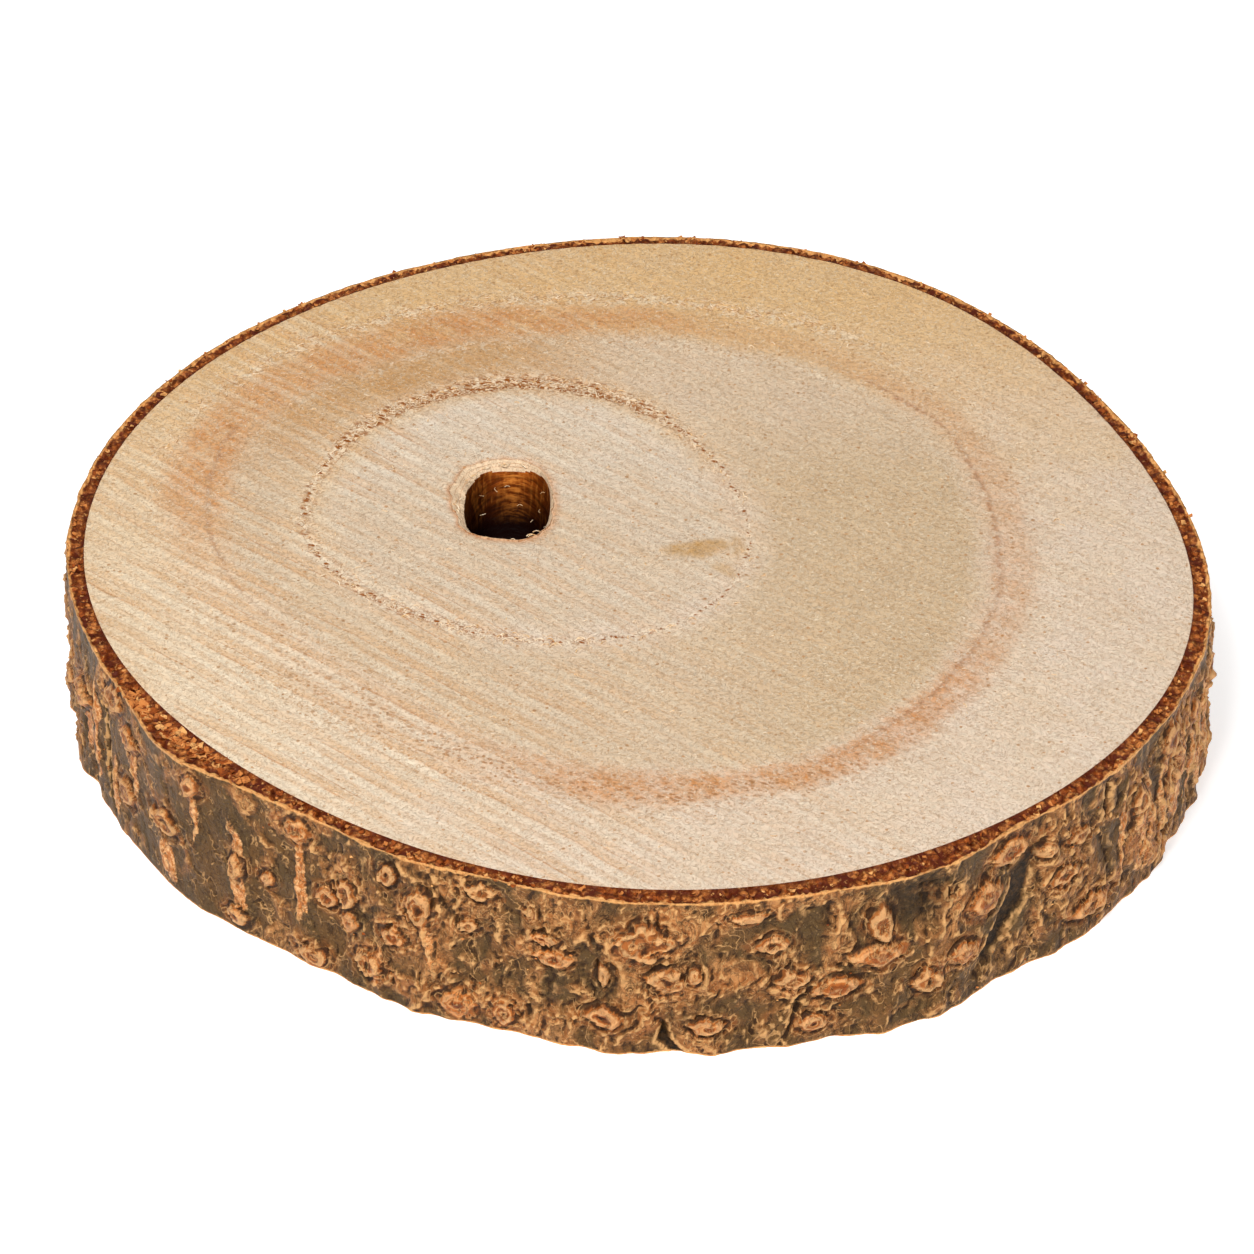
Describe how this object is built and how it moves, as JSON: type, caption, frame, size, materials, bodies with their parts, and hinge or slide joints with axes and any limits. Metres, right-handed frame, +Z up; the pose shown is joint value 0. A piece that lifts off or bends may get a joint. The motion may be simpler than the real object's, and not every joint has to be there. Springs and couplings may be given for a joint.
{
  "type": "wood slice",
  "caption": "Round slice sawn across a young tree trunk: a flat disc of pale wood with its growth rings, a drilled hole near the pith, and the rough bark still on its edge.",
  "frame": {"origin": "middle of the underside, in the plane that the slice rests on", "axes": "+Z up through the slice's thickness; +X to the right and +Y to the back, seen as in the picture"},
  "size_m": [0.1221, 0.1232, 0.019],
  "materials": {
    "sawn_wood": "matt, bare and sawn, with fine saw marks and open pores",
    "bark": "matt and rough, grey-brown skin with orange-tan breathing pores"
  },
  "bodies": {
    "root": {"sawn_wood": "sawn_wood", "bark": "bark"}
  },
  "joints": []
}
